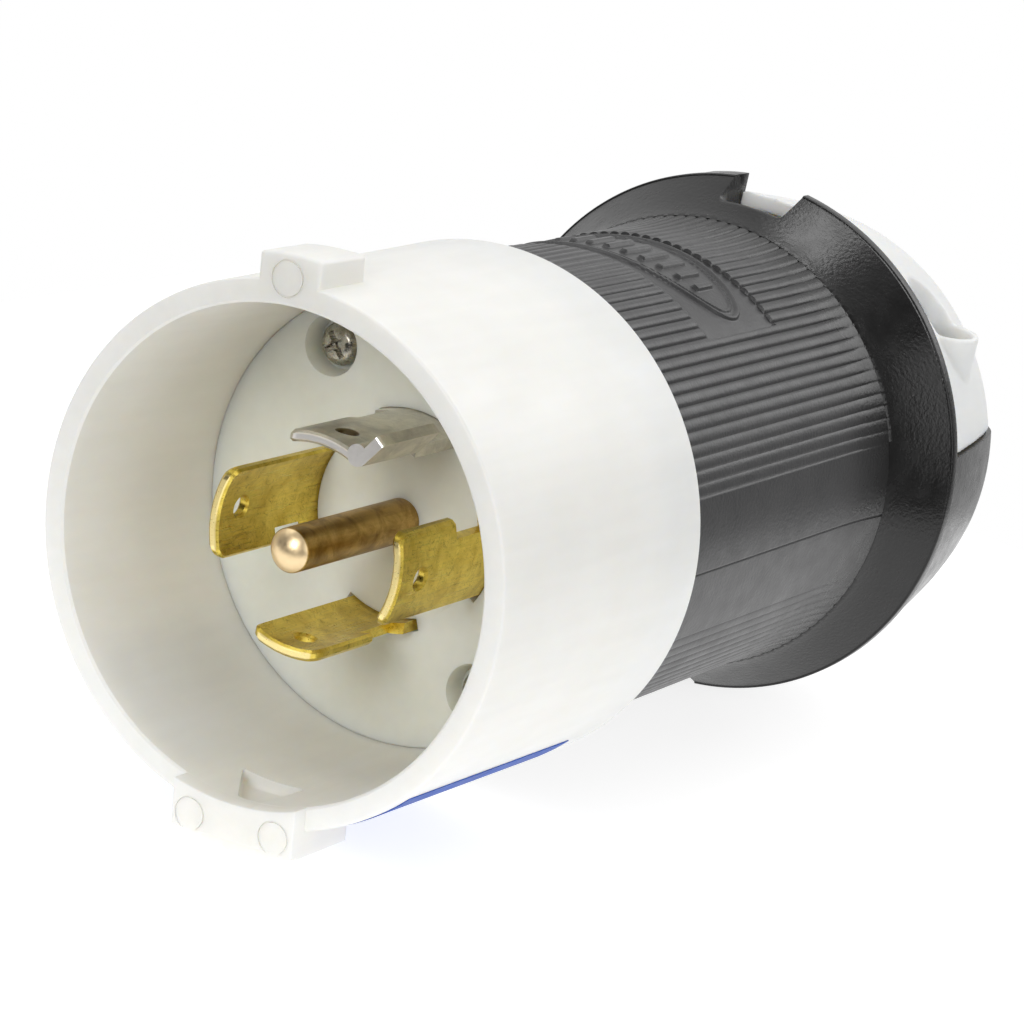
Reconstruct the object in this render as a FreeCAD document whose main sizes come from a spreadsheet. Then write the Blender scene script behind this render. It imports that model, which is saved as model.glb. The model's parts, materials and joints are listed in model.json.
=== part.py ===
"""Shrouded locking plug, 20 A, five contacts (three phases, neutral, ground).

Frame: the plug's axis is Y and the blades point to -Y; +Z is up, through the middle of the
cord clamp's loose jaw. The origin is the root of the ground pin on the plug's face. Angles
round the axis are measured from +X towards +Z, seen from the blades' side.
"""
import FreeCAD, Part
import math
import os
import re

import Sketcher
from FreeCAD import Placement, Rotation, Vector

os.makedirs("parts", exist_ok=True)
doc = FreeCAD.newDocument("ShroudedPlug")

# ------------------------------------------------------------------ driving dimensions
DIMENSIONS = {
    # shroud
    "rim_to_face": 31.0,
    "bore_rim": 32.0,
    "bore_face": 30.9,
    "rim_outer": 35.05,
    "skirt_outer": 35.75,
    "skirt_bore": 33.3,
    "skirt_end": 17.6,
    "shelf_front": 6.0,
    "shelf_back": 9.0,
    "shelf_bore": 21.9,
    "lug_outer": 38.5,
    "lug_length": 10.0,
    "small_lug_width": 9.2,
    "key_lug_width": 18.8,
    "key_lug_reach": 2.5,
    "key_pocket_width": 8.4,
    "label_thick": 0.12,
    # insulating core
    "disc_outer": 30.84,
    "disc_thick": 6.0,
    "boss_outer": 13.2,
    "face_drop": 0.3,
    "face_gap": 0.05,
    "core_outer": 21.5,
    "core_end": 30.0,
    "retainer_thick": 6.0,
    # contacts
    "blade_outer": 14.95,
    "blade_thick": 1.5,
    "blade_reach": 22.7,
    "blade_tail": 27.0,
    "hook_length": 13.0,
    "hook_depth": 2.2,
    "root_length": 2.2,
    "pin_radius": 2.95,
    "pin_reach": 27.0,
    "pin_dome": 1.4,
    "pin_shank": 2.7,
    "terminal_place": 19.5,
    # assembly screws
    "screw_circle": 25.0,
    "screw_radius": 2.1,
    # housing
    "body_front": 9.2,
    "body_outer": 33.1,
    "body_bore": 29.5,
    "flange_root": 78.5,
    "flange_front": 88.2,
    "flange_back": 90.2,
    "flange_outer": 39.7,
    "notch_floor": 36.3,
    "web_front": 86.2,
    "cord_hole": 16.0,
    # cord clamp
    "dome_front": 39.0,
    "dome_shoulder": 36.2,
    "dome_shoulder_place": 108.0,
    "dome_rear": 33.6,
    "rear_end": 119.0,
    "dome_round": 9.0,
    "clamp_wall": 3.0,
    "parting_height": 8.0,
    "jaw_gap": 0.3,
    "cord_radius": 10.0,
    "clamp_screw_side": 26.5,
    "clamp_screw_place": 102.0,
    "clamp_screw_radius": 2.1,
}
sheet = doc.addObject("Spreadsheet::Sheet", "dims")
for row, (alias, value) in enumerate(DIMENSIONS.items(), start=1):
    sheet.set(f"A{row}", alias)
    sheet.set(f"B{row}", str(value))
    sheet.setAlias(f"B{row}", alias)
doc.recompute()

# Where the contacts sit round the axis, and half the angle that each blade covers.
BLADES = {"x": (180.0, 24.5), "y": (270.0, 20.5), "z": (0.0, 24.5), "neutral": (90.0, 23.0)}
GROUND_ANGLE = 225.0
LUG_ANGLE = 97.3
SCREW_ANGLES = (130.0, 310.0)
RETAINER_SCREW_ANGLES = (135.0, 315.0)
RETAINER_SCREW_CIRCLE = 13.0
SCREW_SEAT = 3.6
NOTCH_START = 83.6
NOTCH_FALL = 23.7
NOTCH_ANGLES = (0.9, 180.9)
STOP_SIDE = -9.4
# The neutral blade's leg: where its bend is centred round the axis, its slope and its size.
LEG_BEND_ANGLE = -20.0
LEG_SLOPE = 35.0
LEG_LENGTH = 4.1
LEG_TRIM = 1.25
DEEP = 100.0
kept = []


# ------------------------------------------------------------------ helpers
def bound(expression):
    """The expression with each dimension's name pointing at the sheet."""
    return re.sub(r"[a-z_]+", lambda word: "dims." + word.group(), expression)


def number(expression):
    """The value of a sum of products of dimensions and plain numbers."""
    total = 0.0
    for sign, term in re.findall(r"([+-]?)\s*([\w.]+(?:\s*\*\s*[\w.]+)*)", expression):
        product = -1.0 if sign == "-" else 1.0
        for factor in term.split("*"):
            factor = factor.strip()
            product *= float(sheet.get(factor)) if factor[0].isalpha() else float(factor)
        total += product
    return total


def link(thing, **properties):
    for name, expression in properties.items():
        thing.setExpression(name, bound(expression))


def keep(node, thing, angle=None):
    """Names a finished sub-part, turns it round the axis and lists it for export."""
    thing.Label = node
    if angle is not None:
        thing.Placement = Placement(Vector(0, 0, 0), about_axis(angle))
    kept.append((node, thing))
    return thing


def about_axis(angle):
    """The turn round the plug's axis that takes +X to this angle."""
    return Rotation(Vector(0, 1, 0), -angle)


def turned_to(thing, angle):
    thing.Placement = Placement(Vector(0, 0, 0), about_axis(angle)) * thing.Placement
    return thing


def moved(thing, x=0.0, y=0.0, z=0.0):
    thing.Placement = Placement(Vector(x, y, z), Rotation()) * thing.Placement
    return thing


def sketch_on(body, role, name):
    sketch = body.newObject("Sketcher::SketchObject", name)
    plane = [feature for feature in body.Origin.OriginFeatures if feature.Role == role][0]
    sketch.AttachmentSupport = [(plane, "")]
    sketch.MapMode = "FlatFace"
    return sketch


def add_loop(sketch, points):
    """Draws a closed outline of straight lines; each corner is a pair of expressions."""
    places = [Vector(number(u), number(v), 0) for u, v in points]
    first = sketch.GeometryCount
    for here, there in zip(places, places[1:] + places[:1]):
        sketch.addGeometry(Part.LineSegment(here, there))
    count = len(places)
    for i, (u, v) in enumerate(points):
        line = first + i
        sketch.addConstraint(Sketcher.Constraint("Coincident", line, 2, first + (i + 1) % count, 1))
        for kind, expression in (("DistanceX", u), ("DistanceY", v)):
            index = sketch.addConstraint(Sketcher.Constraint(kind, line, 1, number(expression)))
            sketch.setExpression(f"Constraints[{index}]", bound(expression))


def add_circle(sketch, u, v, radius):
    centre = Vector(number(u), number(v), 0)
    line = sketch.addGeometry(Part.Circle(centre, Vector(0, 0, 1), number(radius)))
    constraints = (
        (Sketcher.Constraint("DistanceX", line, 3, number(u)), u),
        (Sketcher.Constraint("DistanceY", line, 3, number(v)), v),
        (Sketcher.Constraint("Radius", line, number(radius)), radius),
    )
    for constraint, expression in constraints:
        index = sketch.addConstraint(constraint)
        sketch.setExpression(f"Constraints[{index}]", bound(expression))


def turned(name, points, angle=360.0):
    """A body turned round the plug's axis from corners given as (radius, place along Y)."""
    body = doc.addObject("PartDesign::Body", name)
    sketch = sketch_on(body, "XY_Plane", name + "_profile")
    add_loop(sketch, points)
    revolution = body.newObject("PartDesign::Revolution", name + "_turn")
    revolution.Profile = sketch
    revolution.ReferenceAxis = (sketch, ["V_Axis"])
    revolution.Angle = angle
    revolution.Midplane = True
    doc.recompute()
    return body


def pocket(body, sketch, name):
    """Cuts the sketch's shape right through the body, both ways."""
    feature = body.newObject("PartDesign::Pocket", name)
    feature.Profile = sketch
    feature.Type = 1
    feature.Midplane = True
    before = body.Shape.Volume
    doc.recompute()
    assert body.Shape.Volume < before, name + " cuts nothing"
    return feature


def edge_names(shape, wanted):
    return [f"Edge{i}" for i, edge in enumerate(shape.Edges, start=1) if wanted(edge)]


def dress(body, kind, name, wanted, size):
    """Rounds ("Fillet") or bevels ("Chamfer") the wanted edges of a body."""
    base = body.Tip
    names = edge_names(base.Shape, wanted)
    assert names, name + " finds no edges"
    feature = body.newObject("PartDesign::" + kind, name)
    feature.Base = (base, names)
    if kind == "Fillet":
        feature.Radius = size
    else:
        feature.Size = size
    body.Tip = feature
    doc.recompute()
    return feature


def rounded(name, base, wanted, radius):
    """Part's own fillet, for a shape that isn't a body."""
    doc.recompute()
    feature = doc.addObject("Part::Fillet", name)
    feature.Base = base
    feature.Edges = [
        (i, radius, radius) for i, edge in enumerate(base.Shape.Edges, start=1) if wanted(edge)
    ]
    return feature


def block(name, along_x, along_y, along_z, x=0.0, y=0.0, z=0.0):
    """A box centred on x, starting at y and z."""
    thing = doc.addObject("Part::Box", name)
    link(thing, Length=along_x, Width=along_y, Height=along_z)
    thing.Placement.Base = Vector(x - number(along_x) / 2, y, z)
    return thing


AXES = {
    "y": Rotation(Vector(1, 0, 0), -90),
    "x": Rotation(Vector(0, 1, 0), 90),
    "z": Rotation(),
}


def rod(name, radius, length, x=0.0, y=0.0, z=0.0, axis="y"):
    """A cylinder that starts at a point and runs along an axis."""
    thing = doc.addObject("Part::Cylinder", name)
    link(thing, Radius=radius, Height=length)
    thing.Placement = Placement(Vector(x, y, z), AXES[axis])
    return thing


def cone(name, start_radius, end_radius, length, x=0.0, y=0.0, z=0.0, axis="y"):
    thing = doc.addObject("Part::Cone", name)
    thing.Radius1 = start_radius
    thing.Radius2 = end_radius
    thing.Height = length
    thing.Placement = Placement(Vector(x, y, z), AXES[axis])
    return thing


def hexagon(name, across_flats, length, x=0.0, y=0.0, z=0.0, axis="y"):
    thing = doc.addObject("Part::Prism", name)
    thing.Polygon = 6
    thing.Circumradius = across_flats / math.sqrt(3)
    thing.Height = length
    thing.Placement = Placement(Vector(x, y, z), AXES[axis])
    return thing


def joined(name, pieces):
    thing = doc.addObject("Part::MultiFuse", name)
    thing.Shapes = pieces
    thing.Refine = True
    return thing


def common(name, pieces):
    thing = doc.addObject("Part::MultiCommon", name)
    thing.Shapes = pieces
    return thing


def cut(name, base, tools):
    thing = doc.addObject("Part::Cut", name)
    thing.Base = base
    thing.Tool = joined(name + "_tools", tools) if len(tools) > 1 else tools[0]
    thing.Refine = True
    return thing


def group(name, pieces):
    thing = doc.addObject("Part::Compound", name)
    thing.Links = pieces
    return thing


def sector(name, inner, outer, front, length, middle, span):
    """Part of a tube round the axis: span degrees, centred on the angle middle."""
    tubes = []
    for suffix, radius in (("_inner", inner), ("_outer", outer)):
        thing = doc.addObject("Part::Cylinder", name + suffix)
        link(thing, Radius=radius, Height=length)
        thing.Angle = span
        back = front + number(length)
        thing.Placement = Placement(Vector(0, back, 0), Rotation(Vector(1, 0, 0), 90))
        turned_to(thing, middle - span / 2)
        tubes.append(thing)
    return cut(name, tubes[1], [tubes[0]])


def is_circle(edge, radius, place):
    curve = edge.Curve
    if not isinstance(curve, Part.Circle):
        return False
    return abs(curve.Radius - radius) < 0.01 and abs(edge.CenterOfMass.y - place) < 0.01


def machine_screw(name, shank, length, head, head_height, slot_width):
    """A pan-head screw along +Y with the head's seat at y = 0 and the head towards -Y."""
    body = turned(
        name + "_blank",
        [
            ("0", f"-{head_height}"),
            (f"{head}", f"-{head_height}"),
            (f"{head}", "0"),
            (f"{shank}", "0"),
            (f"{shank}", f"{length}"),
            ("0", f"{length}"),
        ],
    )
    dress(body, "Fillet", name + "_crown", lambda e: is_circle(e, head, -head_height), head_height * 0.75)
    dress(body, "Chamfer", name + "_point", lambda e: is_circle(e, shank, length), shank * 0.25)
    across = 1.3 * head
    depth = 0.55 * head_height
    slots = [
        block(f"{name}_slot_{i}", str(wide), str(depth + 1.0), str(high), 0, -head_height - 1.0, -high / 2)
        for i, (wide, high) in enumerate(((across, slot_width), (slot_width, across)))
    ]
    socket = rod(name + "_socket", str(slot_width), str(depth + 1.3), 0, -head_height - 1.0, 0)
    return cut(name, body, slots + [socket])


# ------------------------------------------------------------------ shroud
def make_shroud():
    tube = turned(
        "shroud_tube",
        [
            ("bore_rim", "-rim_to_face"),
            ("rim_outer", "-rim_to_face"),
            ("skirt_outer", "skirt_end"),
            ("skirt_bore", "skirt_end"),
            ("skirt_bore", "shelf_back"),
            ("shelf_bore", "shelf_back"),
            ("shelf_bore", "shelf_front"),
            ("bore_face", "shelf_front"),
            ("bore_face", "0"),
        ],
    )
    rim = -number("rim_to_face")
    dress(tube, "Chamfer", "rim_bevel", lambda e: is_circle(e, number("bore_rim"), rim), 0.4)
    dress(tube, "Fillet", "rim_round", lambda e: is_circle(e, number("rim_outer"), rim), 0.5)
    end = number("skirt_end")
    dress(tube, "Fillet", "skirt_round", lambda e: is_circle(e, number("skirt_outer"), end), 0.6)

    def outer_corner(edge):
        straight = isinstance(edge.Curve, Part.Line) and len(edge.Vertexes) == 2
        if not straight:
            return False
        ends = [vertex.Point for vertex in edge.Vertexes]
        along = abs(ends[0].y - ends[1].y) > 1.0
        return along and math.hypot(ends[0].x, ends[0].z) > number("lug_outer") - 0.1

    def lug(name, width, reach):
        front = rim - number(reach)
        raw = common(
            name + "_raw",
            [
                block(name + "_block", width, f"lug_length + {reach}", "12", 0, front, 32.3),
                rod(name + "_limit", "lug_outer", "30", 0, front - 5, 0),
            ],
        )
        return rounded(name + "_rounded", raw, outer_corner, 0.7)

    small_lug = turned_to(lug("small_lug", "small_lug_width", "0"), LUG_ANGLE - 90)
    key_lug = turned_to(lug("key_lug", "key_lug_width", "key_lug_reach"), LUG_ANGLE + 90)
    # The key lug runs forward of the rim, and its inner side carries the bore on.
    bore_on = rod("bore_on", "bore_rim", "10", 0, rim - 8, 0)
    ledge = block("ledge", "30", "0.6", "3", 0, rim - number("key_lug_reach") - 0.01, 37.2)
    relief = block("key_pocket", "key_pocket_width", "6.2", "4.4", 0, rim + 1.4, 29.8)
    screw_ways = [
        turned_to(rod(f"shelf_hole_{i}", "screw_radius + 0.2", "8", number("screw_circle"), 4, 0), a)
        for i, a in enumerate(SCREW_ANGLES)
    ]
    return keep(
        "shroud",
        cut(
            "shroud_finished",
            joined("shroud_with_lugs", [tube, small_lug, key_lug]),
            [bore_on, turned_to(ledge, LUG_ANGLE + 90), turned_to(relief, LUG_ANGLE + 90)] + screw_ways,
        ),
    )


def make_label():
    """The plain printed band on the underside of the shroud, cut away round the key lug."""
    start = -number("rim_to_face") + 2.0
    stop = number("skirt_end") - 8.0
    slope = (number("skirt_outer") - number("rim_outer")) / number("rim_to_face + skirt_end")
    near = number("rim_outer") + slope * 2.0
    far = number("skirt_outer") - slope * 8.0
    thick = number("label_thick")
    band = turned(
        "label_band",
        [
            (str(near), str(start)),
            (str(near + thick), str(start)),
            (str(far + thick), str(stop)),
            (str(far), str(stop)),
        ],
        angle=97.0,
    )
    band.Placement = Placement(Vector(0, 0, 0), about_axis(270))
    window = block("label_window", "key_lug_width + 3", "12.5", "20", 0, start - 1, 28)
    return keep("id_label", cut("label_cut", band, [turned_to(window, LUG_ANGLE + 90)]))


# ------------------------------------------------------------------ insulating core
def make_core():
    disc = turned(
        "core_turned",
        [
            ("0", "face_gap"),
            ("boss_outer", "face_gap"),
            ("boss_outer", "face_drop"),
            ("disc_outer", "face_drop"),
            ("disc_outer", "disc_thick - 0.05"),
            ("core_outer", "disc_thick - 0.05"),
            ("core_outer", "core_end"),
            ("0", "core_end"),
        ],
    )
    face = number("face_drop")
    dress(disc, "Chamfer", "disc_bevel", lambda e: is_circle(e, number("disc_outer"), face), 0.12)
    tools = []
    inner = "blade_outer - blade_thick - 0.1"
    for name, (angle, half) in BLADES.items():
        # A blade's sides are parallel, so its inner face covers the wider angle.
        side = number("blade_outer") * math.sin(math.radians(half))
        span = 2 * math.degrees(math.asin(side / number(inner))) + 1.2
        tools.append(sector(f"slot_{name}", inner, "blade_outer + 0.1", -1.0, "32", angle, span))
    for name, angle in [(n, a) for n, (a, _) in BLADES.items()] + [("ground", GROUND_ANGLE)]:
        well = block(f"well_{name}", "14", "18", "9.6", 17.0, 13.0, -4.8)
        tools.append(turned_to(well, angle))
    tools.append(rod("pin_way", "pin_shank + 0.05", "60", 0, -5, 0))
    tools.append(turned_to(block("ground_way", "16", "8", "7.4", 8.0, 24.2, -3.7), GROUND_ANGLE))
    tools.append(rod("collar_way", "4.7", "8", 0, 23.8, 0))
    for i, angle in enumerate(SCREW_ANGLES):
        place = number("screw_circle")
        tools.append(turned_to(cone(f"face_bore_{i}", 4.2, 3.6, SCREW_SEAT, place, 0), angle))
        tools.append(turned_to(rod(f"face_hole_{i}", "screw_radius + 0.2", "20", place, -5, 0), angle))
        # The housing's bosses stand in these two scallops.
        front = number("body_front") - 0.2
        tools.append(turned_to(rod(f"scallop_{i}", "5.7", "30", place, front, 0), angle))
    for i, angle in enumerate(RETAINER_SCREW_ANGLES):
        tools.append(turned_to(rod(f"pilot_{i}", "1.55", "16", RETAINER_SCREW_CIRCLE, 18.0, 0), angle))
    return keep("contact_carrier", cut("core_cut", disc, tools))


def make_retainer():
    plate = turned(
        "retainer_turned",
        [
            ("0", "core_end + 0.05"),
            ("core_outer", "core_end + 0.05"),
            ("core_outer", "core_end + retainer_thick"),
            ("0", "core_end + retainer_thick"),
        ],
    )
    end = number("core_end + retainer_thick")
    dress(plate, "Chamfer", "retainer_bevel", lambda e: is_circle(e, number("core_outer"), end), 0.8)
    tools = []
    for name, angle in [(n, a) for n, (a, _) in BLADES.items()] + [("ground", GROUND_ANGLE)]:
        hole = rod(f"wire_hole_{name}", "2.9", "20", 17.6, 25, 0)
        funnel = cone(f"wire_funnel_{name}", 2.6, 3.9, 3.0, 17.6, end - 2.9)
        tools.append(turned_to(hole, angle))
        tools.append(turned_to(funnel, angle))
    for i, angle in enumerate(RETAINER_SCREW_ANGLES):
        place = RETAINER_SCREW_CIRCLE
        tools.append(turned_to(rod(f"retainer_hole_{i}", "1.6", "20", place, 25, 0), angle))
        tools.append(turned_to(rod(f"retainer_bore_{i}", "3.1", "5", place, end - 2.2, 0), angle))
    return keep("terminal_retainer", cut("retainer_cut", plate, tools))


# ------------------------------------------------------------------ contacts
def make_blade(name, angle, half):
    """A curved locking blade, made round +X and then turned to its place.

    The hook is the stretch behind the tip; behind it the leading edge is notched up to the
    short root on the face. The blade runs on through the core as the terminal's tail.
    """
    body = turned(
        f"blade_{name}_strip",
        [
            ("blade_outer - blade_thick", "-blade_reach"),
            ("blade_outer", "-blade_reach"),
            ("blade_outer", "blade_tail"),
            ("blade_outer - blade_thick", "blade_tail"),
        ],
        angle=2 * half + 6,
    )
    side = number("blade_outer") * math.sin(math.radians(half))
    legged = name == "neutral"
    trailing = [("-blade_reach - 1", f"-{side}")]
    if legged:
        # The leg's bend takes the place of this edge along the hook.
        bent = f"{LEG_TRIM} - {side}"
        trailing = [
            ("hook_length - blade_reach", f"-{side}"),
            ("hook_length - blade_reach", bent),
            ("-blade_reach - 1", bent),
        ]
    trim = sketch_on(body, "YZ_Plane", f"blade_{name}_outline")
    far, near = f"{DEEP}", f"-{DEEP}"
    add_loop(trim, [(near, near), (far, near), (far, far), (near, far)])
    add_loop(
        trim,
        [("blade_tail + 1", f"-{side}")]
        + trailing
        + [
            ("-blade_reach - 1", f"{side}"),
            ("hook_length - blade_reach", f"{side}"),
            ("hook_length - blade_reach", f"{side} - hook_depth"),
            ("-root_length", f"{side} - hook_depth"),
            ("-root_length", f"{side}"),
            ("blade_tail + 1", f"{side}"),
        ],
    )
    pocket(body, trim, f"blade_{name}_trim")
    holes = sketch_on(body, "YZ_Plane", f"blade_{name}_holes")
    add_circle(holes, "5 - blade_reach", "0", "1.35")
    add_circle(holes, "terminal_place", "0", "2.1")
    pocket(body, holes, f"blade_{name}_drill")
    tip = -number("blade_reach")

    def tip_corner(edge):
        ends = [vertex.Point for vertex in edge.Vertexes]
        if len(ends) != 2 or any(abs(point.y - tip) > 0.01 for point in ends):
            return False
        if legged and ends[0].z < 0:
            return False
        return abs(ends[0].z - ends[1].z) < 0.2 and abs(ends[0].x - ends[1].x) > 0.5

    dress(body, "Fillet", f"blade_{name}_corners", tip_corner, 1.7)

    def tip_edge(edge):
        return all(abs(vertex.Point.y - tip) < 0.01 for vertex in edge.Vertexes) and isinstance(
            edge.Curve, Part.Circle
        )

    dress(body, "Chamfer", f"blade_{name}_lead", tip_edge, 0.45)

    def dimple_edge(edge):
        middle = edge.CenterOfMass
        return abs(middle.y - tip - 5) < 0.3 and abs(middle.z) < 0.3 and len(edge.Vertexes) == 1

    dress(body, "Chamfer", f"blade_{name}_dish", dimple_edge, 0.35)
    return body


def make_contacts():
    for name, (angle, half) in BLADES.items():
        body = make_blade(name, angle, half)
        if name != "neutral":
            keep("blade_" + name, body, angle)
            continue
        # The neutral's trailing edge is bent outwards along the hook.
        tip = -number("blade_reach")
        radius = number("blade_outer")
        turn = math.radians(LEG_BEND_ANGLE)
        centre = Vector(radius * math.cos(turn), tip, radius * math.sin(turn))
        slope = Rotation(Vector(0, 1, 0), LEG_SLOPE)
        leg = block("neutral_leg", str(LEG_LENGTH), "hook_length", "blade_thick")
        inner_corner = centre - slope.multVec(Vector(0, 0, number("blade_thick")))
        leg.Placement = Placement(inner_corner, slope)
        # A shade slimmer than the strip, so that it doesn't just touch the faces it joins.
        bend = rod("neutral_bend", "blade_thick - 0.03", "hook_length", centre.x, tip, centre.z)

        def leg_corner(edge):
            middle = edge.CenterOfMass
            return edge.Length < 2 and abs(middle.y - tip) < 0.01 and middle.x > centre.x + 2

        rounded_leg = rounded("neutral_leg_rounded", leg, leg_corner, 0.6)
        keep("blade_neutral", joined("neutral_bent", [body, bend, rounded_leg]), angle)


def make_ground():
    pin = turned(
        "pin_turned",
        [
            ("0", "-pin_reach"),
            ("pin_radius", "-pin_reach"),
            ("pin_radius", "0"),
            ("pin_shank", "0"),
            ("pin_shank", "24"),
            ("4.5", "24"),
            ("4.5", "25.8"),
            ("0", "25.8"),
        ],
    )
    # The end is a shallow cap of a ball that is wider than the pin.
    radius, height = number("pin_radius"), number("pin_dome")
    tip = -number("pin_reach")
    ball = doc.addObject("Part::Sphere", "pin_ball")
    ball.Radius = (radius**2 + height**2) / (2 * height)
    ball.Placement.Base = Vector(0, tip + ball.Radius.Value, 0)
    end = rod("pin_end", "pin_radius + 1", "4", 0, tip - 1, 0)
    capped = cut("pin_capped", pin, [cut("pin_end_hollow", end, [ball])])
    softened = rounded("pin_softened", capped, lambda e: is_circle(e, radius, tip + height), 0.25)
    bar = block("ground_bar", "blade_outer", "1.4", "7", number("blade_outer") / 2, 24.4, -3.5)
    reach = number("blade_outer - 0.5 * blade_thick")
    strip = block("ground_strip", "blade_thick", "12.5", "7", reach, 13.3, -3.5)
    hole = rod("ground_hole", "2.1", "10", 9, number("terminal_place"), 0, "x")
    tail = turned_to(cut("ground_tail", joined("ground_tail_raw", [bar, strip]), [hole]), GROUND_ANGLE)
    return keep("ground_pin", joined("ground_joined", [softened, tail]))


def make_terminal(name, angle):
    """A pressure plate outside the contact's tail, and the radial screw that drives it."""
    place = number("terminal_place")
    seat = number("blade_outer") + 2.65
    plate = block(f"plate_{name}", "1.6", "9", "8.4", seat - 0.85, place - 4.5, -4.2)
    lips = [
        block(f"plate_{name}_lip_{i}", "0.8", "1.0", "8.4", seat - 1.95, y, -4.2)
        for i, y in enumerate((place - 4.5, place + 3.5))
    ]
    hole = rod(f"plate_{name}_hole", "2.1", "10", 12, place, 0, "x")
    keep(
        f"pressure_plate_{name}",
        cut(f"plate_{name}_drilled", joined(f"plate_{name}_formed", [plate] + lips), [hole]),
        angle,
    )
    screw = machine_screw(f"terminal_screw_{name}_made", 2.0, 7.2, 3.4, 2.2, 0.9)
    holder = group(f"terminal_screw_{name}_held", [screw])
    seated = Placement(Vector(seat, place, 0), Rotation(Vector(0, 0, 1), 90))
    screw.Placement = seated
    keep(f"terminal_screw_{name}", holder, angle)


# ------------------------------------------------------------------ housing
def dome(name, inset, front, shift):
    """The round-ended rear of the plug as a solid of revolution, inset for its inside."""
    end = f"rear_end - {inset}"
    body = turned(
        name,
        [
            ("0", front),
            (f"dome_front - {inset}", front),
            (f"dome_shoulder - {inset}", "dome_shoulder_place"),
            (f"dome_rear - {inset}", end),
            ("0", end),
        ],
    )
    edge_radius = number(f"dome_rear - {inset}")
    round_size = number("dome_round") - inset
    dress(body, "Fillet", name + "_round", lambda e: is_circle(e, edge_radius, number(end)), round_size)
    return moved(body, 0, 0, shift)


def make_housing():
    front = turned(
        "housing_barrel",
        [
            ("body_bore", "body_front"),
            ("body_outer", "body_front"),
            ("body_outer", "flange_root - 5"),
            ("body_outer + 0.4", "flange_root"),
            ("flange_outer", "flange_front"),
            ("flange_outer", "flange_back"),
            ("cord_hole", "flange_back"),
            ("cord_hole", "web_front"),
            ("body_bore - 3", "web_front"),
            ("body_bore", "web_front - 4"),
        ],
    )
    back, reach = number("flange_back"), number("rear_end")
    wall = number("clamp_wall")
    shell = cut(
        "base_shell",
        dome("base_dome", 0, "flange_back - 0.5", 0),
        [dome("base_hollow", wall, "flange_back - 1", 0), rod("base_mouth", "13", "30", 0, reach - 10, 0)],
    )
    inside = dome("base_limit", 0, "flange_back - 0.5", 0)
    side = number("clamp_screw_side")
    place = number("clamp_screw_place")
    top = number("parting_height")
    blocks = [block("cradle", "30", "16", "40", 0, place - 8, -40.8)]
    holes = [rod("cord_channel", "cord_radius", "60", 0, back - 2, 0)]
    for i, x in enumerate((-side, side)):
        outwards = x + math.copysign(7, x)
        blocks.append(rod(f"clamp_post_{i}", "6.4", "16", x, place, top - 16, "z"))
        blocks.append(block(f"clamp_web_{i}", "14", "4", "16", outwards, place - 2, top - 16))
        holes.append(rod(f"clamp_thread_{i}", "clamp_screw_radius + 0.1", "40", x, place, -19, "z"))
        holes.append(hexagon(f"clamp_nut_seat_{i}", 8.9, 3.8, x, place, top - 16.1, "z"))
    solid = common("base_blocks", [joined("base_block_set", blocks), inside])
    bosses = []
    for i, angle in enumerate(SCREW_ANGLES):
        radius = number("screw_circle")
        low = number("body_front")
        bosses.append(turned_to(rod(f"boss_{i}", "5.3", "18", radius, low, 0), angle))
        bosses.append(turned_to(block(f"boss_web_{i}", "6", "18", "5", radius + 3.2, low, -2.5), angle))
        holes.append(turned_to(rod(f"boss_hole_{i}", "screw_radius + 0.1", "22", radius, 7, 0), angle))
        holes.append(turned_to(hexagon(f"boss_nut_seat_{i}", 7.1, 3.3, radius, low + 15, 0), angle))
    # Everything behind the flange above the parting height belongs to the loose jaw.
    above = block("above_parting", "90", "40", "60", 0, back + 0.001, top)
    # Each notch's floor falls away rearwards from the flange's hollow front.
    notches = []
    start = Vector(0, NOTCH_START, number("notch_floor"))
    for i, angle in enumerate(NOTCH_ANGLES):
        notch = block(f"flange_notch_{i}", "11.6", "16", "8", 0, -5.0, 0)
        notch.Placement = Placement(start, Rotation(Vector(1, 0, 0), -NOTCH_FALL)) * notch.Placement
        reach = rod(f"flange_notch_reach_{i}", "flange_outer + 2", "12", 0, back - 12, 0)
        notches.append(turned_to(common(f"flange_notch_cut_{i}", [notch, reach]), angle))
    body = joined("housing_joined", [front, shell, solid] + bosses)
    trimmed = cut("housing_cut", body, [above] + notches + holes)
    stop = common(
        "notch_stop",
        [
            block("notch_stop_block", "6", "3.2", "6", STOP_SIDE, back - 0.5, 34.5),
            rod("notch_stop_limit", "flange_outer", "10", 0, back - 2, 0),
        ],
    )
    return keep("housing", joined("housing_finished", [trimmed, stop]))


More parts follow.
